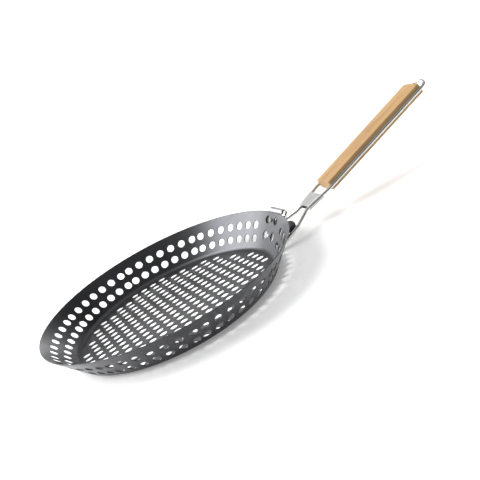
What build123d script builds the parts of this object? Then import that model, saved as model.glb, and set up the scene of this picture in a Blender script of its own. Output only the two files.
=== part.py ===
from build123d import *

import os
from math import cos, hypot, radians, sin

# A round perforated grill basket: a shallow sheet-steel pan full of round holes,
# with a wire handle that folds up and over into the pan.
# Millimetres. Z is up, the pan stands on z = 0, its axis is the Z axis and the
# handle points along +X. The pan's own symmetry plane is y = 0.

# ---- Driving dimensions: pan ----
SHEET = 1.0                  # thickness of the pan's sheet steel
RIM_RADIUS = 150.0           # middle of the sheet at the rim, a 12 inch pan
PAN_HEIGHT = 36.2            # from the table to the top of the rim
FOOT_RADIUS = 121.1          # where the middle planes of base and wall meet
BASE_BEND_RADIUS = 8.0       # inside bend between base and wall
HOLE_DIAMETER = 9.2

BASE_PITCH = 12.87           # square lattice of holes in the base
BASE_FIELD_RADIUS = 8.64 * BASE_PITCH

WALL_ROW_HEIGHTS = (10.8, 23.1)
WALL_GROUPS_PER_SIDE = 4
HOLES_PER_GROUP = 7
GROUP_ANGLE = 42.25          # degrees from one group of wall holes to the next
HOLE_ANGLE = 6.2             # degrees between holes of a group

BRACKET_HOLE_ANGLE = 4.0     # degrees either side of the handle
BRACKET_HOLE_HEIGHTS = (14.9, 28.6)

# ---- Driving dimensions: handle wire ----
WIRE_DIAMETER = 4.2
HANDLE_TILT = 16.7           # degrees that the handle rises above the table
LEG_SPACING = 40.0           # between the two legs at the hinge
GRIP_WIRE_SPACING = 29.0     # between the two wires along the grip
WAIST_SPACING = 16.0         # where the two wires come closest, inside the collar
HINGE_Z = 35.0               # height of the crossbar that the handle folds about
ELBOW_X = 161.0              # where the legs turn up into the plane of the handle
ELBOW_Z = 13.5
LEG_SLOPE = 0.36             # rise of the legs from the pan to the elbow
HEEL_X = 131.4               # foot of each leg, just clear of the pan's wall
HEEL_HEIGHT = 8.2
HEEL_SLOPE_BACK = -0.4       # how far the top of the heel leans back over the pan
WAIST_AT = 23.0              # along the handle from the elbow
SPREAD_END_AT = 56.0         # the wires run parallel from here on
LOOP_BEYOND_GRIP = 12.0      # the hanging loop's reach beyond the grip
LOOP_FLAT = 0.4              # half of the straight bit at the tip of the loop
WIRE_END_GAP = 0.6           # between the wire's two ends, inside the barrel
CROSSBAR_BEND = 3.4          # bend radii, to the middle of the wire
HEEL_BEND = 4.0
ELBOW_BEND = 8.0
WAIST_BEND = 7.0
SPREAD_BEND = 12.0

# ---- Driving dimensions: grip, collar ----
GRIP_START_AT = 61.0
GRIP_LENGTH = 155.0
GRIP_WIDTH = 28.0
UPPER_GRIP_SIDE = 6.2        # height of the slab's flat side
LOWER_GRIP_SIDE = 5.4
GRIP_CROWN = 0.8             # how far a slab's face bulges above its sides
GRIP_CORNER_RADIUS = 1.5
GRIP_EDGE_RADIUS = 0.5
SCREW_PLACES = (24.0, 131.0)
SCREW_HEAD_DIAMETER = 7.0
SCREW_DIAMETER = 3.5
SCREW_LENGTH = 10.0
SCREW_HEAD_HEIGHT = 1.7
SCREW_HEAD_TAPER = 45.0      # degrees
RECESS_LENGTH = 3.6          # cross recess in the screw heads
RECESS_WIDTH = 0.9
RECESS_DEPTH = 1.2

COLLAR_START_AT = 26.4
COLLAR_LENGTH = 19.8
COLLAR_SHEET = 0.8
COLLAR_INNER_START = 22.6    # inner width at the end towards the pan
COLLAR_INNER_END = 30.0      # inner width at the end towards the grip
COLLAR_FIT = 0.15            # free play above and below the wires

# ---- Driving dimensions: hinge bracket and barrel ----
BRACKET_SHEET = 1.5
BRACKET_WIDTH = 32.0
BRACKET_TOP = 34.0
BRACKET_BOTTOM = 8.0
BRACKET_STEM_WIDTH = 7.0     # runs down between the two columns of bracket holes
TOP_BAND_BOTTOM = 32.0       # the plate is full width above the upper holes
MIDDLE_BAND = (19.2, 24.4)   # and between the upper and the lower holes
EAR_Y = 15.2                 # middle of each ear's sheet
EAR_REACH = 16.0             # from the wall to the centre of the ear's round end
EAR_HEIGHT = 26.4            # where that centre would meet the wall
EAR_RADIUS = 6.8
BARREL_SHEET = 1.0
BARREL_LENGTH = 30.0
BARREL_SEAM = 1.6            # gap left where the rolled strip comes back to its leaf
HINGE_CLEARANCE = 0.08       # between the crossbar and the barrel, on the radius
LEAF_DEPTH = 4.2             # full-width part of the barrel's leaf
STEM_WIDTH = 7.0             # narrow part of the leaf, between the bracket holes
STEM_END = 34.0
RIVET_DIAMETER = 3.0
RIVET_HEAD_DIAMETER = 5.0
RIVET_HEAD_HEIGHT = 1.3
RIVET_HEAD_TAPER = 35.0      # degrees
RIVET_STAND_OFF = 0.04       # lets the flat heads bridge the curved sheets

os.makedirs("parts", exist_ok=True)

# ---- The wall as a cone: places are given by height, distances by the normal ----
WALL_RUN = RIM_RADIUS - FOOT_RADIUS
WALL_RISE = PAN_HEIGHT - SHEET / 2
WALL_LENGTH = hypot(WALL_RUN, WALL_RISE)
WALL_OUT = Vector(WALL_RISE / WALL_LENGTH, 0, -WALL_RUN / WALL_LENGTH)
WALL_UP = Vector(WALL_RUN / WALL_LENGTH, 0, WALL_RISE / WALL_LENGTH)


def wall_radius(height):
    """Radius of the middle of the wall's sheet at a height."""
    return FOOT_RADIUS + (height - SHEET / 2) * WALL_RUN / WALL_RISE


def wall_plane(angle, height):
    """A plane on the middle of the wall, facing straight out of it."""
    origin = Vector(wall_radius(height), 0, height)
    return Plane(
        origin=origin.rotate(Axis.Z, angle),
        x_dir=Vector(0, 1, 0).rotate(Axis.Z, angle),
        z_dir=WALL_OUT.rotate(Axis.Z, angle),
    )


# ---- Pan ----
def base_hole_places():
    """Square lattice, with its centre between four holes, cut off by a circle."""
    steps = [index + 0.5 for index in range(-9, 9)]
    return [
        (column * BASE_PITCH, row * BASE_PITCH)
        for row in steps
        for column in steps
        if hypot(column, row) * BASE_PITCH < BASE_FIELD_RADIUS
    ]


def wall_hole_angles():
    """Groups of holes, punched one group at a time from the back to the handle."""
    angles = []
    for group in range(WALL_GROUPS_PER_SIDE):
        group_centre = 180 - GROUP_ANGLE * (group + 0.5)
        for hole in range(HOLES_PER_GROUP):
            angle = group_centre + (hole - (HOLES_PER_GROUP - 1) / 2) * HOLE_ANGLE
            angles += [angle, -angle]
    return angles


def bracket_hole_planes():
    """The four holes that go through both the pan and its hinge bracket."""
    return [
        wall_plane(side * BRACKET_HOLE_ANGLE, height)
        for side in (-1, 1)
        for height in BRACKET_HOLE_HEIGHTS
    ]


def rivet_planes():
    """One rivet between the upper pair of bracket holes, one between the lower."""
    return [wall_plane(0, height) for height in BRACKET_HOLE_HEIGHTS]


with BuildPart() as pan:
    with BuildSketch(Plane.XZ) as pan_section:
        with BuildLine():
            half = SHEET / 2
            slant = half / WALL_OUT.X
            foot_slant = half * (1 - WALL_UP.X) / WALL_UP.Z
            Polyline(
                (0, 0),
                (FOOT_RADIUS + foot_slant, 0),
                (RIM_RADIUS + slant, PAN_HEIGHT),
                (RIM_RADIUS - slant, PAN_HEIGHT),
                (FOOT_RADIUS - foot_slant, SHEET),
                (0, SHEET),
                close=True,
            )
        make_face()
        corners = pan_section.vertices().sort_by(Axis.X)
        inner_foot = corners.filter_by_position(Axis.Y, SHEET, SHEET).sort_by(Axis.X)[-1]
        outer_foot = corners.filter_by_position(Axis.Y, 0, 0).sort_by(Axis.X)[-1]
        fillet(inner_foot, BASE_BEND_RADIUS)
        fillet(outer_foot, BASE_BEND_RADIUS + SHEET)
        fillet(pan_section.vertices().group_by(Axis.Y)[-1], SHEET * 0.3)
    revolve(axis=Axis.Z)
    with BuildSketch(Plane.XY):
        with Locations(*base_hole_places()):
            Circle(HOLE_DIAMETER / 2)
    extrude(amount=SHEET, mode=Mode.SUBTRACT)
    row_planes = [
        wall_plane(angle, height)
        for height in WALL_ROW_HEIGHTS
        for angle in wall_hole_angles()
    ]
    with Locations(*row_planes, *bracket_hole_planes()):
        Cylinder(HOLE_DIAMETER / 2, 4 * SHEET, mode=Mode.SUBTRACT)
    with Locations(*rivet_planes()):
        Cylinder(RIVET_DIAMETER / 2, 4 * SHEET, mode=Mode.SUBTRACT)
pan.part.label = "pan"
export_step(pan.part, "parts/pan.step")

# ---- Hinge bracket: a coated plate on the outside of the wall, with two bent-out ears ----
PLATE_INNER = SHEET / 2
PLATE_OUTER = PLATE_INNER + BRACKET_SHEET
THROUGH = 8 * SHEET          # long enough to cut through every sheet at the hinge


def beside_wall(distance, height):
    """(x, z) at a distance outside the middle of the wall, at a height, at y = 0."""
    return (wall_radius(height) + distance / WALL_OUT.X, height)


def off_wall(distance, height):
    """(x, z) straight out of the middle of the wall from a height, at y = 0."""
    foot = Vector(wall_radius(height), 0, height) + WALL_OUT * distance
    return (foot.X, foot.Z)


with BuildPart() as hinge_bracket:
    with BuildSketch(Plane.XZ):
        Polygon(
            beside_wall(PLATE_INNER, BRACKET_BOTTOM),
            beside_wall(PLATE_OUTER, BRACKET_BOTTOM),
            beside_wall(PLATE_OUTER, BRACKET_TOP),
            beside_wall(PLATE_INNER, BRACKET_TOP),
            align=None,
        )
    revolve(axis=Axis.Z)
    with BuildSketch(Plane.YZ):
        Rectangle(BRACKET_STEM_WIDTH, BRACKET_TOP, align=(Align.CENTER, Align.MIN))
        for band_bottom, band_top in ((TOP_BAND_BOTTOM, BRACKET_TOP), MIDDLE_BAND):
            with Locations((0, band_bottom)):
                Rectangle(
                    BRACKET_WIDTH, band_top - band_bottom, align=(Align.CENTER, Align.MIN)
                )
    extrude(amount=2 * RIM_RADIUS, mode=Mode.INTERSECT)
    with Locations(*rivet_planes()):
        Cylinder(RIVET_DIAMETER / 2, THROUGH, mode=Mode.SUBTRACT)
    for side in (-1, 1):
        ear_plane = Plane.XZ.offset(side * EAR_Y)
        with BuildSketch(ear_plane):
            with BuildLine():
                Line(*[off_wall(PLATE_INNER, height) for height in MIDDLE_BAND])
                CenterArc(off_wall(EAR_REACH, EAR_HEIGHT), EAR_RADIUS, 0, 360)
            make_hull()
        extrude(amount=BRACKET_SHEET / 2, both=True)
hinge_bracket.part.label = "hinge_bracket"
export_step(hinge_bracket.part, "parts/hinge_bracket.step")

# ---- Hinge barrel: a strip rolled round the crossbar, its leaf lying on the bracket ----
WIRE_RADIUS = WIRE_DIAMETER / 2
BARREL_INNER = WIRE_RADIUS + HINGE_CLEARANCE
BARREL_OUTER = BARREL_INNER + BARREL_SHEET
HINGE_X = beside_wall(PLATE_OUTER + BARREL_OUTER, HINGE_Z)[0]
across_hinge = Plane(
    origin=(HINGE_X, 0, HINGE_Z), x_dir=WALL_OUT, z_dir=(0, -1, 0)
)  # local x straight out of the wall, local y up along it
along_leaf = Plane(
    origin=(HINGE_X, 0, HINGE_Z), x_dir=(0, 1, 0), z_dir=WALL_OUT
)  # local x across the handle, local y up along the wall

with BuildPart() as hinge_barrel:
    with BuildSketch(across_hinge):
        Circle(BARREL_OUTER)
        with Locations((-BARREL_OUTER, 0)):
            Rectangle(BARREL_SHEET + BARREL_SEAM, STEM_END, align=(Align.MIN, Align.MAX))
        with Locations((-BARREL_INNER, 0)):
            Rectangle(
                BARREL_SEAM, STEM_END, align=(Align.MIN, Align.MAX), mode=Mode.SUBTRACT
            )
        Circle(BARREL_INNER, mode=Mode.SUBTRACT)
    extrude(amount=BARREL_LENGTH / 2, both=True)
    with BuildSketch(along_leaf):
        with Locations((0, -LEAF_DEPTH)):
            Rectangle(2 * BARREL_LENGTH, STEM_END, align=(Align.CENTER, Align.MAX))
            Rectangle(
                STEM_WIDTH, STEM_END, align=(Align.CENTER, Align.MAX), mode=Mode.SUBTRACT
            )
    extrude(amount=2 * BARREL_OUTER, both=True, mode=Mode.SUBTRACT)
    with Locations(*rivet_planes()):
        Cylinder(RIVET_DIAMETER / 2, THROUGH, mode=Mode.SUBTRACT)
hinge_barrel.part.label = "hinge_barrel"
export_step(hinge_barrel.part, "parts/hinge_barrel.step")

# ---- Two rivets through leaf, bracket and pan ----
STACK_START = -SHEET / 2 - RIVET_STAND_OFF
STACK_END = PLATE_OUTER + BARREL_SHEET

with BuildPart() as hinge_rivets:
    for rivet_plane in rivet_planes():
        with BuildSketch(rivet_plane.offset(STACK_START)):
            Circle(RIVET_DIAMETER / 2)
        extrude(amount=STACK_END - STACK_START)
        for head_start, outward in ((STACK_START, -1), (STACK_END, 1)):
            with BuildSketch(rivet_plane.offset(head_start)):
                Circle(RIVET_HEAD_DIAMETER / 2)
            extrude(amount=outward * RIVET_HEAD_HEIGHT, taper=RIVET_HEAD_TAPER)
hinge_rivets.part.label = "hinge_rivets"
export_step(hinge_rivets.part, "parts/hinge_rivets.step")

# ---- The handle's own plane: x along the handle from the elbow, y across, z up ----
handle_plane = Plane(
    origin=(ELBOW_X, 0, ELBOW_Z),
    x_dir=(cos(radians(HANDLE_TILT)), 0, sin(radians(HANDLE_TILT))),
    z_dir=(-sin(radians(HANDLE_TILT)), 0, cos(radians(HANDLE_TILT))),
)

handle_normal = Axis(handle_plane.origin, handle_plane.z_dir)


def section_plane(along):
    """Plane across the handle: local x across it, local y up from the wires."""
    return Plane(
        origin=handle_plane.from_local_coords((along, 0, 0)),
        x_dir=(0, 1, 0),
        z_dir=handle_plane.x_dir,
    )


# ---- Handle wire: one wire, bent symmetrically, its ends meeting in the barrel ----
LEG_Y = LEG_SPACING / 2
GRIP_WIRE_Y = GRIP_WIRE_SPACING / 2
heel_low = (HEEL_X, LEG_Y, ELBOW_Z - LEG_SLOPE * (ELBOW_X - HEEL_X))
heel_high = (HEEL_X - HEEL_SLOPE_BACK, LEG_Y, heel_low[2] + HEEL_HEIGHT)
loop_tip = GRIP_START_AT + GRIP_LENGTH + LOOP_BEYOND_GRIP

with BuildPart() as handle_wire:
    with BuildLine() as half_wire:
        FilletPolyline(
            (HINGE_X, WIRE_END_GAP / 2, HINGE_Z),
            (HINGE_X, LEG_Y, HINGE_Z),
            heel_high,
            heel_low,
            (ELBOW_X, LEG_Y, ELBOW_Z),
            handle_plane.from_local_coords((WAIST_AT, WAIST_SPACING / 2, 0)),
            handle_plane.from_local_coords((SPREAD_END_AT, GRIP_WIRE_Y, 0)),
            handle_plane.from_local_coords((loop_tip, GRIP_WIRE_Y, 0)),
            handle_plane.from_local_coords((loop_tip, 0, 0)),
            radius=(
                CROSSBAR_BEND,
                HEEL_BEND,
                HEEL_BEND,
                ELBOW_BEND,
                WAIST_BEND,
                SPREAD_BEND,
                GRIP_WIRE_Y - LOOP_FLAT,
            ),
        )
    with BuildSketch(Plane(origin=half_wire.line @ 0, z_dir=half_wire.line % 0)):
        Circle(WIRE_RADIUS)
    sweep(path=half_wire.line)
    mirror(about=Plane.XZ)
handle_wire.part.label = "handle_wire"
export_step(handle_wire.part, "parts/handle_wire.step")

# ---- Grip: two wood slabs with the wires let in between them, screwed from below ----
GRIP_MIDDLE = GRIP_START_AT + GRIP_LENGTH / 2


def grip_slab(side_height, facing):
    """A slab above (facing = 1) or below (facing = -1) the plane of the wires."""
    edge = GRIP_WIDTH / 2
    with BuildPart() as slab:
        with BuildSketch(section_plane(GRIP_START_AT)):
            with BuildLine():
                Line((-edge, 0), (edge, 0))
                Line((edge, 0), (edge, facing * side_height))
                ThreePointArc(
                    (edge, facing * side_height),
                    (0, facing * (side_height + GRIP_CROWN)),
                    (-edge, facing * side_height),
                )
                Line((-edge, facing * side_height), (-edge, 0))
            make_face()
        extrude(amount=GRIP_LENGTH)
        with BuildSketch(handle_plane):
            with Locations((GRIP_MIDDLE, 0)):
                RectangleRounded(GRIP_LENGTH, GRIP_WIDTH, GRIP_CORNER_RADIUS)
        extrude(amount=2 * side_height, both=True, mode=Mode.INTERSECT)
        face = slab.faces().sort_by(handle_normal)[-1 if facing > 0 else 0]
        fillet(face.edges(), GRIP_EDGE_RADIUS)
        add(handle_wire.part, mode=Mode.SUBTRACT)
    return slab.part


def screw_places():
    """Where the screws enter the lower slab, with z pointing into the wood."""
    screw_start = -(LOWER_GRIP_SIDE + GRIP_CROWN)
    return [
        Plane(
            origin=handle_plane.from_local_coords((GRIP_START_AT + along, 0, screw_start)),
            x_dir=handle_plane.x_dir,
            z_dir=handle_plane.z_dir,
        )
        for along in SCREW_PLACES
    ]


with BuildPart() as grip_screws:
    for place in screw_places():
        with BuildSketch(place):
            Circle(SCREW_HEAD_DIAMETER / 2)
        extrude(amount=SCREW_HEAD_HEIGHT, taper=SCREW_HEAD_TAPER)
        with BuildSketch(place):
            Circle(SCREW_DIAMETER / 2)
        extrude(amount=SCREW_LENGTH)

with BuildPart() as lower_grip:
    add(grip_slab(LOWER_GRIP_SIDE, -1))
    add(grip_screws.part, mode=Mode.SUBTRACT)
lower_grip.part.label = "lower_grip"
export_step(lower_grip.part, "parts/lower_grip.step")

with BuildPart() as upper_grip:
    add(grip_slab(UPPER_GRIP_SIDE, 1))
    add(grip_screws.part, mode=Mode.SUBTRACT)
upper_grip.part.label = "upper_grip"
export_step(upper_grip.part, "parts/upper_grip.step")

with BuildPart() as finished_screws:
    add(grip_screws.part)
    for place in screw_places():
        with BuildSketch(place):
            Rectangle(RECESS_LENGTH, RECESS_WIDTH)
            Rectangle(RECESS_WIDTH, RECESS_LENGTH)
        extrude(amount=RECESS_DEPTH, mode=Mode.SUBTRACT)
finished_screws.part.label = "grip_screws"
export_step(finished_screws.part, "parts/grip_screws.step")

# ---- Lock collar: a flat sheet sleeve that slides along the two wires ----
COLLAR_INNER_HEIGHT = WIRE_DIAMETER + 2 * COLLAR_FIT


def sleeve(wall):
    """The sleeve's tapering form, grown outwards by a wall thickness."""
    height = COLLAR_INNER_HEIGHT + 2 * wall
    ends = (
        (COLLAR_START_AT, COLLAR_INNER_START),
        (COLLAR_START_AT + COLLAR_LENGTH, COLLAR_INNER_END),
    )
    with BuildPart() as form:
        for along, inner_width in ends:
            with BuildSketch(section_plane(along)):
                SlotOverall(inner_width + 2 * wall, height)
        loft()
    return form.part


with BuildPart() as lock_collar:
    add(sleeve(COLLAR_SHEET))
    add(sleeve(0), mode=Mode.SUBTRACT)
lock_collar.part.label = "lock_collar"
export_step(lock_collar.part, "parts/lock_collar.step")
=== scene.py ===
from math import atan2, cos, hypot, pi, radians, sin, tan

import bmesh
import bpy
from mathutils import Euler, Matrix, Vector
from mathutils.geometry import delaunay_2d_cdt


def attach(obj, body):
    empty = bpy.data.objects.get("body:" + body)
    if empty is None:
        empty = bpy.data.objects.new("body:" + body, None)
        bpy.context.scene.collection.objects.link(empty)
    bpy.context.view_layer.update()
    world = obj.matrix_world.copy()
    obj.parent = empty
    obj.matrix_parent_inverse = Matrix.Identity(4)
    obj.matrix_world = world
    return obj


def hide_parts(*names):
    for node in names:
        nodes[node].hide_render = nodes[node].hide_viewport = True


# The looks of a perforated grill basket with a folding wire handle and a wood grip.
# Metres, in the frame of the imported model: +Z up, the handle along +X.

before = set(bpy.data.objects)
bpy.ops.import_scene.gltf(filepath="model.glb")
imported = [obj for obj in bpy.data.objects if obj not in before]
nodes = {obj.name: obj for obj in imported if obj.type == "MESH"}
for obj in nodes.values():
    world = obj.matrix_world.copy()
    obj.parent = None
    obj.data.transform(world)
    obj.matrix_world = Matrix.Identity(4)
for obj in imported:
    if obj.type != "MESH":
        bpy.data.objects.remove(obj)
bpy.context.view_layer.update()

MM = 0.001
HANDLE_TILT = radians(16.7)              # the handle's rise above the table

# The pan's driving dimensions, the same as the frame's.
SHEET = 1.0 * MM
HALF_SHEET = SHEET / 2
RIM_RADIUS = 150.0 * MM
PAN_HEIGHT = 36.2 * MM
FOOT_RADIUS = 121.1 * MM                 # where the middles of base and wall meet
BEND_RADIUS = 8.0 * MM + HALF_SHEET      # to the middle of the sheet
HOLE_RADIUS = 4.6 * MM
BASE_PITCH = 12.87 * MM
BASE_FIELD_RADIUS = 8.64 * BASE_PITCH
WALL_ROW_HEIGHTS = (10.8 * MM, 23.1 * MM)
WALL_GROUPS_PER_SIDE = 4
HOLES_PER_GROUP = 7
GROUP_ANGLE = radians(42.25)
HOLE_ANGLE = radians(6.2)
BRACKET_HOLE_ANGLE = radians(4.0)
BRACKET_HOLE_HEIGHTS = (14.9 * MM, 28.6 * MM)

# How finely the visible sheet is meshed.
HOLE_EDGE_RADIUS = 0.25 * MM             # the punched edges, rounded by the coating
HOLE_SEGMENTS = 24
AROUND = 300                             # points around the pan
BEND_STEPS = 8
RIM_STEPS = 6
WALL_STEP = 4.0 * MM                     # between points of the wall away from the holes
POINT_GAP = 0.9 * MM                     # from those points to the edge of a hole
JOIN_DISTANCE = 0.002 * MM               # points closer than this become one
IN_HOLE = 0.98                           # of a hole's radius, where a face counts as in it
CDT_TOLERANCE = 1e-9
INSIDE_BORDER = 1                        # keep only the triangles inside the border


# ---------------------------------------------------------------- node helpers
class Nodes:
    """A material's node tree with short calls to add and join nodes."""

    def __init__(self, name):
        self.material = bpy.data.materials.new(name)
        self.material.use_nodes = True
        self.tree = self.material.node_tree
        self.shader = self.tree.nodes["Principled BSDF"]

    def add(self, kind, **inputs):
        """A node of that kind, with its sockets set or joined by name."""
        node = self.tree.nodes.new(kind)
        for key, value in inputs.items():
            self.put(node, key.replace("_", " "), value)
        return node

    def put(self, node, socket, value):
        """Sets a socket to a number or colour, or joins another node's output to it."""
        target = node.inputs[socket]
        if isinstance(value, bpy.types.NodeSocket):
            self.tree.links.new(value, target)
        else:
            target.default_value = value

    def set(self, **inputs):
        """Sets sockets of the shader itself."""
        for key, value in inputs.items():
            self.put(self.shader, key.replace("_", " "), value)

    def place(self, rotation=(0, 0, 0), scale=(1, 1, 1)):
        """Object coordinates, turned and then stretched."""
        coordinates = self.tree.nodes.new("ShaderNodeTexCoord")
        turned = self.add("ShaderNodeMapping", Vector=coordinates.outputs["Object"])
        turned.inputs["Rotation"].default_value = rotation
        stretched = self.add("ShaderNodeMapping", Vector=turned.outputs["Vector"])
        stretched.inputs["Scale"].default_value = scale
        return stretched.outputs["Vector"]

    def noise(self, vector, scale, detail=3.0, roughness=0.55, distortion=0.0):
        """A noise value between 0 and 1. Scale is in features per metre."""
        node = self.add(
            "ShaderNodeTexNoise", Vector=vector, Scale=scale, Detail=detail,
            Roughness=roughness, Distortion=distortion,
        )
        return node.outputs["Fac"]

    def span(self, value, low, high, to_low=0.0, to_high=1.0):
        """Maps low..high to to_low..to_high, and holds the ends."""
        node = self.add(
            "ShaderNodeMapRange", Value=value, From_Min=low, From_Max=high,
            To_Min=to_low, To_Max=to_high,
        )
        return node.outputs["Result"]

    def math(self, operation, first, second):
        """A maths node's result."""
        node = self.tree.nodes.new("ShaderNodeMath")
        node.operation = operation
        for socket, value in zip(node.inputs, (first, second)):
            if isinstance(value, bpy.types.NodeSocket):
                self.tree.links.new(value, socket)
            else:
                socket.default_value = value
        return node.outputs["Value"]

    def ramp(self, value, stops):
        """A colour between stops of (place, (r, g, b))."""
        node = self.add("ShaderNodeValToRGB", Fac=value)
        band = node.color_ramp
        while len(band.elements) < len(stops):
            band.elements.new(0.5)
        for element, (place, colour) in zip(band.elements, stops):
            element.position = place
            element.color = (*colour, 1.0)
        return node.outputs["Color"]

    def blend(self, factor, first, second, kind="MIX"):
        """Mixes two colours."""
        node = self.tree.nodes.new("ShaderNodeMix")
        node.data_type = "RGBA"
        node.blend_type = kind
        for name, value in (("Factor", factor), ("A", first), ("B", second)):
            sockets = [s for s in node.inputs if s.name == name and s.enabled]
            if isinstance(value, bpy.types.NodeSocket):
                self.tree.links.new(value, sockets[0])
            else:
                sockets[0].default_value = value if name == "Factor" else (*value, 1.0)
        return [s for s in node.outputs if s.enabled][0]

    def height(self, vector):
        """The upward part of a vector."""
        return self.add("ShaderNodeSeparateXYZ", Vector=vector).outputs["Z"]

    def bump(self, height, distance, strength=1.0, under=None):
        """A bump of that many metres, on top of another one."""
        node = self.add(
            "ShaderNodeBump", Height=height, Distance=distance, Strength=strength
        )
        if under is not None:
            self.tree.links.new(under, node.inputs["Normal"])
        return node.outputs["Normal"]


# ------------------------------------------------------------------- the pan
WALL_SLOPE = atan2(PAN_HEIGHT - HALF_SHEET, RIM_RADIUS - FOOT_RADIUS)
BEND_REACH = BEND_RADIUS * tan(WALL_SLOPE / 2)      # from the foot to each end of the bend
BASE_EDGE = FOOT_RADIUS - BEND_REACH
WALL_END = (PAN_HEIGHT - SHEET) / sin(WALL_SLOPE)   # the middle of the rounded rim


def on_base(x, y, depth):
    """A place in the flat base, and the sheet's inner normal there."""
    return Vector((x, y, HALF_SHEET + depth)), Vector((0, 0, 1))


def turned(radius, height, normal_out, normal_up, angle):
    """A place and a normal given in a section through the axis, turned round to an angle."""
    around = Vector((cos(angle), sin(angle), 0))
    return (
        around * radius + Vector((0, 0, height)),
        around * normal_out + Vector((0, 0, normal_up)),
    )


def on_wall(angle, along, depth):
    """A place in the wall, and the sheet's inner normal there."""
    radius = FOOT_RADIUS + along * cos(WALL_SLOPE) - depth * sin(WALL_SLOPE)
    height = HALF_SHEET + along * sin(WALL_SLOPE) + depth * cos(WALL_SLOPE)
    return turned(radius, height, -sin(WALL_SLOPE), cos(WALL_SLOPE), angle)


def on_bend(angle, turn, depth):
    """A place in the bend between base and wall, and the inner normal there."""
    radius = BASE_EDGE + (BEND_RADIUS - depth) * sin(turn)
    height = HALF_SHEET + BEND_RADIUS - (BEND_RADIUS - depth) * cos(turn)
    return turned(radius, height, -sin(turn), cos(turn), angle)


def on_rim(angle, turn):
    """A place on the rounded top edge; turn runs from the inside (0) to the outside (pi)."""
    across = WALL_SLOPE + pi / 2 - turn
    middle_radius = FOOT_RADIUS + WALL_END * cos(WALL_SLOPE)
    middle_height = HALF_SHEET + WALL_END * sin(WALL_SLOPE)
    return turned(
        middle_radius + HALF_SHEET * cos(across),
        middle_height + HALF_SHEET * sin(across),
        cos(across),
        sin(across),
        angle,
    )


def base_holes():
    """Square lattice, with its centre between four holes, cut off by a circle."""
    steps = [index + 0.5 for index in range(-9, 9)]
    return [
        (column * BASE_PITCH, row * BASE_PITCH)
        for row in steps
        for column in steps
        if hypot(column, row) * BASE_PITCH < BASE_FIELD_RADIUS
    ]


def wall_holes():
    """(angle, distance up the wall) of every hole in the wall."""
    angles = []
    for group in range(WALL_GROUPS_PER_SIDE):
        group_centre = pi - GROUP_ANGLE * (group + 0.5)
        for hole in range(HOLES_PER_GROUP):
            angle = group_centre + (hole - (HOLES_PER_GROUP - 1) / 2) * HOLE_ANGLE
            angles += [angle, 2 * pi - angle]
    places = [(angle, height) for height in WALL_ROW_HEIGHTS for angle in angles]
    for height in BRACKET_HOLE_HEIGHTS:
        places += [(BRACKET_HOLE_ANGLE, height), (2 * pi - BRACKET_HOLE_ANGLE, height)]
    return [(angle, (height - HALF_SHEET) / sin(WALL_SLOPE)) for angle, height in places]


class SheetMesh:
    """A bent sheet's mesh, with the true surface normal kept at each point."""

    def __init__(self):
        self.mesh = bmesh.new()
        self.normals = self.mesh.verts.layers.float_vector.new("surface_normal")

    def point(self, place, normal):
        vertex = self.mesh.verts.new(place)
        vertex[self.normals] = normal
        return vertex

    def ribbon(self, first, second):
        """Four-sided faces between two closed rings of the same number of points."""
        count = len(first)
        for index in range(count):
            following = (index + 1) % count
            self.mesh.faces.new(
                (first[index], first[following], second[following], second[index])
            )

    def finish(self, name):
        """Joins the strips, and returns the object, smooth, with its own normals."""
        bmesh.ops.remove_doubles(self.mesh, verts=self.mesh.verts, dist=JOIN_DISTANCE)
        bmesh.ops.recalc_face_normals(self.mesh, faces=self.mesh.faces)
        data = bpy.data.meshes.new(name)
        self.mesh.to_mesh(data)
        self.mesh.free()
        stored = data.attributes["surface_normal"].data
        normals = [value.vector.normalized() for value in stored]
        data.attributes.remove(data.attributes["surface_normal"])
        data.shade_smooth()
        data.normals_split_custom_set_from_vertices(normals)
        piece = bpy.data.objects.new(name, data)
        bpy.context.collection.objects.link(piece)
        return piece


def circle_offsets(radius):
    """Points of a hole's edge around its centre."""
    turns = [2 * pi * index / HOLE_SEGMENTS for index in range(HOLE_SEGMENTS)]
    return [(radius * cos(turn), radius * sin(turn)) for turn in turns]


def add_perforated_area(sheet, border, loose, holes, place, stretch):
    """Both faces of a perforated area, and the rounded edges of its holes.

    border and loose are points of the area, holes its hole centres. place(x, y, depth)
    puts a point in space, and stretch(y) is the length of one unit of x there.
    """
    outer = HOLE_RADIUS + HOLE_EDGE_RADIUS
    flat = [Vector(point) for point in border]
    edges = [(index, (index + 1) % len(flat)) for index in range(len(flat))]
    for centre_x, centre_y in holes:
        flat += [
            Vector((centre_x + x / stretch(centre_y), centre_y + y))
            for x, y in circle_offsets(outer)
        ]
    flat += [Vector(point) for point in loose]
    points, _, faces, *_ = delaunay_2d_cdt(flat, edges, [], INSIDE_BORDER, CDT_TOLERANCE)

    def in_hole(face):
        middle = sum((points[index] for index in face), Vector((0, 0))) / len(face)
        return any(
            hypot((middle.x - x) * stretch(y), middle.y - y) < HOLE_RADIUS * IN_HOLE
            for x, y in holes
            if abs(middle.y - y) < HOLE_RADIUS
        )

    solid = [face for face in faces if not in_hole(face)]
    for depth, facing in ((HALF_SHEET, 1), (-HALF_SHEET, -1)):
        made_points = []
        for point in points:
            where, normal = place(point.x, point.y, depth)
            made_points.append(sheet.point(where, normal * facing))
        for face in solid:
            sheet.mesh.faces.new([made_points[index] for index in face])
    for centre in holes:
        add_hole_edge(sheet, centre, place, stretch)


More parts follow.
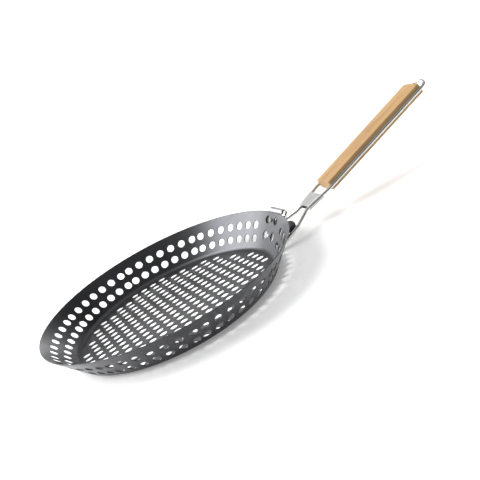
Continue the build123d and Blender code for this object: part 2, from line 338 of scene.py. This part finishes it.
def add_hole_edge(sheet, centre, place, stretch):
    """The wall of one punched hole, rounded over into both faces of the sheet."""
    profile = []
    for side in (1, -1):
        corner = HALF_SHEET - HOLE_EDGE_RADIUS
        turns = (pi / 2, pi / 4, 0) if side > 0 else (0, pi / 4, pi / 2)
        for turn in turns:
            depth = side * (corner + HOLE_EDGE_RADIUS * sin(turn))
            radius = HOLE_RADIUS + HOLE_EDGE_RADIUS * (1 - cos(turn))
            profile.append((radius, depth, side * sin(turn), cos(turn)))
    rings = []
    for radius, depth, lift, inward in profile:
        ring = []
        for x, y in circle_offsets(radius):
            u, v = centre[0] + x / stretch(centre[1]), centre[1] + y
            where, normal = place(u, v, depth)
            middle = place(*centre, depth)[0]
            to_middle = (middle - where).normalized()
            ring.append(sheet.point(where, normal * lift + to_middle * inward))
        rings.append(ring)
    for first, second in zip(rings, rings[1:]):
        sheet.ribbon(first, second)


def make_pan():
    """The pan as one sheet: base, bend, wall and rounded rim."""
    sheet = SheetMesh()
    angles = [2 * pi * index / AROUND for index in range(AROUND)]
    base_border = [(BASE_EDGE * cos(angle), BASE_EDGE * sin(angle)) for angle in angles]
    add_perforated_area(sheet, base_border, [], base_holes(), on_base, lambda y: 1.0)

    holes = wall_holes()
    levels = round((WALL_END - BEND_REACH) / WALL_STEP)
    rise = [BEND_REACH + (WALL_END - BEND_REACH) * k / levels for k in range(levels + 1)]
    whole_turn = [2 * pi * index / AROUND for index in range(AROUND + 1)]
    border = [(angle, rise[0]) for angle in whole_turn]
    border += [(2 * pi, along) for along in rise[1:-1]]
    border += [(angle, rise[-1]) for angle in reversed(whole_turn)]
    border += [(0, along) for along in reversed(rise[1:-1])]

    def stretch(along):
        return FOOT_RADIUS + along * cos(WALL_SLOPE)

    clear = HOLE_RADIUS + HOLE_EDGE_RADIUS + POINT_GAP
    loose = [
        (angle, along)
        for along in rise[1:-1]
        for angle in whole_turn[1:-1]
        if all(
            hypot((angle - hole_angle) * stretch(along), along - hole_along) > clear
            for hole_angle, hole_along in holes
        )
    ]
    add_perforated_area(sheet, border, loose, holes, on_wall, stretch)

    for depth, facing in ((HALF_SHEET, 1), (-HALF_SHEET, -1)):
        rings = []
        for step in range(BEND_STEPS + 1):
            turn = WALL_SLOPE * step / BEND_STEPS
            places = [on_bend(angle, turn, depth) for angle in angles]
            rings.append([sheet.point(where, normal * facing) for where, normal in places])
        for first, second in zip(rings, rings[1:]):
            sheet.ribbon(first, second)
    rings = []
    for step in range(RIM_STEPS + 1):
        turn = pi * step / RIM_STEPS
        rings.append([sheet.point(*on_rim(angle, turn)) for angle in angles])
    for first, second in zip(rings, rings[1:]):
        sheet.ribbon(first, second)
    return sheet.finish("pan_sheet")


# ------------------------------------------------------------------- materials
def coated_steel():
    """Dark grey sprayed coating, satin, with a fine fleck and faint wipe marks."""
    m = Nodes("coated_steel")
    here = m.place()
    spray = m.noise(here, 2600.0, detail=2.0)
    fleck = m.noise(here, 900.0, detail=2.0)
    cloud = m.noise(here, 22.0, detail=4.0)
    wiped = m.noise(m.place((0, 0, 0.6), (1, 14, 1)), 24.0, detail=4.0)
    coat = m.ramp(cloud, ((0.3, (0.055, 0.056, 0.061)), (0.75, (0.075, 0.076, 0.083))))
    flecks = m.span(fleck, 0.62, 0.72, 0.0, 0.35)
    m.set(
        Base_Color=m.blend(flecks, coat, (0.12, 0.12, 0.13)),
        Metallic=0.85,
        Specular_IOR_Level=0.8,
        Roughness=m.math(
            "ADD", m.span(wiped, 0.3, 0.7, 0.25, 0.31), m.span(cloud, 0.3, 0.7, 0, 0.05)
        ),
        Normal=m.bump(spray, 0.00003, 0.5),
    )
    return m.material


def rivet_steel():
    """Coated rivets; the lower one painted bright bare steel below about 17-21 mm up, a painted
    highlight, while the upper stays dark coated.
    """
    m = Nodes("rivet_steel")
    here = m.place()
    scuff_and_highlight_noise = m.noise(here, 1400.0, detail=4.0)
    height = m.height(here)
    lower = m.span(height, 0.017, 0.021, 1.0, 0.0)
    # painted highlight: a bright bare-steel colour on the lower rivet only, broken up by noise
    lower_rivet_painted_highlight = m.math("MULTIPLY", lower, m.span(scuff_and_highlight_noise, 0.3, 0.45))
    m.set(
        Base_Color=m.blend(lower_rivet_painted_highlight, (0.10, 0.10, 0.105), (0.62, 0.61, 0.60)),
        Metallic=m.span(lower_rivet_painted_highlight, 0, 1, 0.55, 1.0),
        Roughness=m.span(scuff_and_highlight_noise, 0.3, 0.7, 0.28, 0.42),
        Normal=m.bump(scuff_and_highlight_noise, 0.00003, 0.4),
    )
    return m.material


def polished_steel():
    """Bright drawn stainless wire and strip with fine marks."""
    m = Nodes("polished_steel")
    here = m.place()
    marks = m.noise(here, 900.0, detail=4.0)
    drawn = m.noise(m.place((0, HANDLE_TILT, 0), (0.05, 1, 1)), 2400.0, detail=3.0)
    smear = m.noise(here, 60.0, detail=3.0)
    m.set(
        Base_Color=m.ramp(smear, ((0.3, (0.60, 0.59, 0.58)), (0.7, (0.70, 0.69, 0.68)))),
        Metallic=1.0,
        Roughness=m.span(smear, 0.3, 0.7, 0.12, 0.22),
        Normal=m.bump(drawn, 0.000012, 0.4, under=m.bump(marks, 0.00001, 0.3)),
    )
    return m.material


def satin_steel():
    """Satin stainless sheet, brushed along the handle."""
    m = Nodes("satin_steel")
    grain = m.noise(m.place((0, HANDLE_TILT, 0), (0.04, 1, 1)), 3000.0, detail=3.0)
    cloud = m.noise(m.place(), 70.0, detail=3.0)
    m.set(
        Base_Color=m.ramp(grain, ((0.3, (0.50, 0.50, 0.50)), (0.7, (0.60, 0.60, 0.60)))),
        Metallic=1.0,
        Roughness=m.math(
            "ADD", m.span(grain, 0.3, 0.7, 0.32, 0.42), m.span(cloud, 0.3, 0.7, 0, 0.06)
        ),
        Normal=m.bump(grain, 0.00002, 0.35),
    )
    return m.material


def oiled_wood():
    """Light brown hardwood: growth bands, fine fibres and pores, the grain along the handle."""
    m = Nodes("oiled_wood")
    across = m.place((0, HANDLE_TILT, 0), (1, 1, 1))
    along = m.place((0, HANDLE_TILT, 0), (0.05, 1, 1))
    bands = m.noise(m.place((0, HANDLE_TILT, 0), (0.09, 0.7, 1)), 95.0, detail=3.0, distortion=0.6)
    fibre = m.noise(along, 1500.0, detail=4.0)
    pores = m.noise(m.place((0, HANDLE_TILT, 0), (0.09, 1, 1)), 2600.0, detail=2.0)
    patch = m.noise(across, 26.0, detail=2.0)
    colour = m.ramp(bands, (
        (0.28, (0.30, 0.160, 0.055)), (0.45, (0.43, 0.250, 0.095)),
        (0.58, (0.49, 0.300, 0.122)), (0.75, (0.37, 0.205, 0.074)),
    ))
    colour = m.blend(m.span(fibre, 0.35, 0.7, 0.0, 0.4), colour, (0.24, 0.120, 0.042))
    colour = m.blend(m.span(pores, 0.63, 0.70, 0.0, 0.6), colour, (0.13, 0.060, 0.022))
    colour = m.blend(m.span(patch, 0.35, 0.7, 0.0, 0.25), colour, (0.52, 0.33, 0.15))
    m.set(
        Base_Color=colour,
        Roughness=m.span(fibre, 0.3, 0.7, 0.42, 0.58),
        Normal=m.bump(pores, 0.00006, 0.5, under=m.bump(fibre, 0.00005, 0.4)),
    )
    return m.material


def screw_steel():
    """Plain stainless screw heads, turned."""
    m = Nodes("screw_steel")
    turned_marks = m.noise(m.place(), 1800.0, detail=3.0)
    m.set(
        Base_Color=m.ramp(turned_marks, ((0.3, (0.48, 0.48, 0.48)), (0.7, (0.62, 0.62, 0.61)))),
        Metallic=1.0,
        Roughness=m.span(turned_marks, 0.3, 0.7, 0.25, 0.4),
        Normal=m.bump(turned_marks, 0.00002, 0.4),
    )
    return m.material


MATERIALS = {
    "pan": coated_steel,
    "hinge_bracket": coated_steel,
    "hinge_rivets": rivet_steel,
    "hinge_barrel": polished_steel,
    "handle_wire": polished_steel,
    "lock_collar": satin_steel,
    "grip_screws": screw_steel,
    "upper_grip": oiled_wood,
    "lower_grip": oiled_wood,
}

made = {recipe: recipe() for recipe in dict.fromkeys(MATERIALS.values())}
for node_name, recipe in MATERIALS.items():
    mesh = nodes[node_name].data
    mesh.materials.clear()
    mesh.materials.append(made[recipe])

pan_sheet = make_pan()
pan_sheet.data.materials.append(made[coated_steel])
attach(pan_sheet, "pan_body")
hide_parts("pan")


# ------------------------------------------------------------ floor, light, camera
SOFTBOX_FROM = (-0.62, 0.42, 0.62)       # behind and to the left
SOFTBOX_LIGHT = 8.0
SOFTBOX_CORE = radians(10)
SOFTBOX_EDGE = radians(36)
BACKDROP_LOW_LIGHT = 1.9                 # the bright strip low down on the +Y side
BACKDROP_LOW_FADE = (0.22, 0.36)         # sines of the elevation where it fades out
BACKDROP_HIGH_LIGHT = 0.45               # the dimmer backdrop above it
BACKDROP_HIGH_FADE = (0.50, 0.80)
BACKDROP_SIDE = (-0.05, 0.50)            # y of the direction, from no backdrop to all of it
ROOM_LIGHT = 0.05                        # from everywhere else
SUN_FROM = (0.1, 0.2, 1.0)
SUN_STRENGTH = 0.8
SUN_SPREAD = radians(80)
SEEN_BACKGROUND = 1.3                    # the least that the camera itself sees, pure white

def make_floor():
    """A large plain pale floor that the pan stands on."""
    bpy.ops.mesh.primitive_plane_add(size=60.0, location=(0, 0, 0))
    floor = bpy.context.object
    floor.name = "floor"
    m = Nodes("pale_floor")
    m.set(
        Base_Color=(0.90, 0.90, 0.90, 1.0), Roughness=0.95,
        Emission_Color=(1.0, 1.0, 1.0, 1.0), Emission_Strength=0.25,
    )
    floor.data.materials.append(m.material)


def make_soft_sun(origin, strength, spread):
    """An even light from a direction, as soft as a large overhead softbox."""
    light = bpy.data.lights.new("soft_sun", "SUN")
    light.energy = strength
    light.angle = spread
    lamp = bpy.data.objects.new("soft_sun", light)
    bpy.context.collection.objects.link(lamp)
    lamp.rotation_euler = Vector(origin).to_track_quat("Z", "Y").to_euler()


def make_world():
    """White to the camera; as light, a softbox and a low backdrop, with a dim room in front."""
    world = bpy.data.worlds.new("studio")
    world.use_nodes = True
    tree = world.node_tree
    background = tree.nodes["Background"]
    coordinates = tree.nodes.new("ShaderNodeTexCoord")
    split = tree.nodes.new("ShaderNodeSeparateXYZ")
    tree.links.new(coordinates.outputs["Generated"], split.inputs["Vector"])

    def span(value, low, high, to_low, to_high):
        node = tree.nodes.new("ShaderNodeMapRange")
        node.interpolation_type = "SMOOTHSTEP"
        tree.links.new(value, node.inputs["Value"])
        for socket, number in zip(node.inputs[1:5], (low, high, to_low, to_high)):
            socket.default_value = number
        return node.outputs["Result"]

    def joined(operation, first, second):
        node = tree.nodes.new("ShaderNodeMath")
        node.operation = operation
        for socket, value in zip(node.inputs, (first, second)):
            if isinstance(value, bpy.types.NodeSocket):
                tree.links.new(value, socket)
            else:
                socket.default_value = value
        return node.outputs["Value"]

    towards = tree.nodes.new("ShaderNodeVectorMath")
    towards.operation = "DOT_PRODUCT"
    tree.links.new(coordinates.outputs["Generated"], towards.inputs[0])
    towards.inputs[1].default_value = Vector(SOFTBOX_FROM).normalized()
    softbox = span(
        towards.outputs["Value"], cos(SOFTBOX_EDGE), cos(SOFTBOX_CORE), 0.0, SOFTBOX_LIGHT
    )
    low = span(split.outputs["Z"], *BACKDROP_LOW_FADE, BACKDROP_LOW_LIGHT, 0.0)
    high = span(split.outputs["Z"], *BACKDROP_HIGH_FADE, BACKDROP_HIGH_LIGHT, 0.0)
    behind = span(split.outputs["Y"], *BACKDROP_SIDE, 0.0, 1.0)
    backdrop = joined("MULTIPLY", joined("ADD", low, high), behind)
    strength = joined("ADD", joined("ADD", backdrop, softbox), ROOM_LIGHT)
    seen = tree.nodes.new("ShaderNodeLightPath").outputs["Is Camera Ray"]
    strength = joined("MAXIMUM", strength, joined("MULTIPLY", seen, SEEN_BACKGROUND))
    tree.links.new(strength, background.inputs["Strength"])
    background.inputs["Color"].default_value = (1, 1, 1, 1)
    bpy.context.scene.world = world


CAMERA_AZIMUTH = radians(-11.21)         # 0 looks along +Y
CAMERA_ELEVATION = radians(20.65)
CAMERA_ROLL = radians(-27.98)
CAMERA_PLACE = Vector((-128.1, -773.0, 292.1)) * MM
CAMERA_LENS = 56.87                      # mm, on a 36 mm sensor
CAMERA_SHIFT = (0.0896, 0.125)           # puts the pan low and left in the frame


def make_camera():
    """The camera, at the viewing angle that shows handle and bowl together."""
    camera = bpy.data.cameras.new("camera")
    camera.sensor_width = 36.0
    camera.lens = CAMERA_LENS
    camera.shift_x, camera.shift_y = CAMERA_SHIFT
    camera.clip_start, camera.clip_end = 0.05, 50.0
    holder = bpy.data.objects.new("camera", camera)
    bpy.context.collection.objects.link(holder)
    upright = Euler((pi / 2 - CAMERA_ELEVATION, 0, CAMERA_AZIMUTH)).to_matrix()
    rolled = upright @ Matrix.Rotation(CAMERA_ROLL, 3, "Z")
    holder.matrix_world = Matrix.Translation(CAMERA_PLACE) @ rolled.to_4x4()
    bpy.context.scene.camera = holder


make_floor()
make_world()
make_soft_sun(SUN_FROM, SUN_STRENGTH, SUN_SPREAD)
make_camera()
bpy.context.scene.view_settings.view_transform = "Standard"
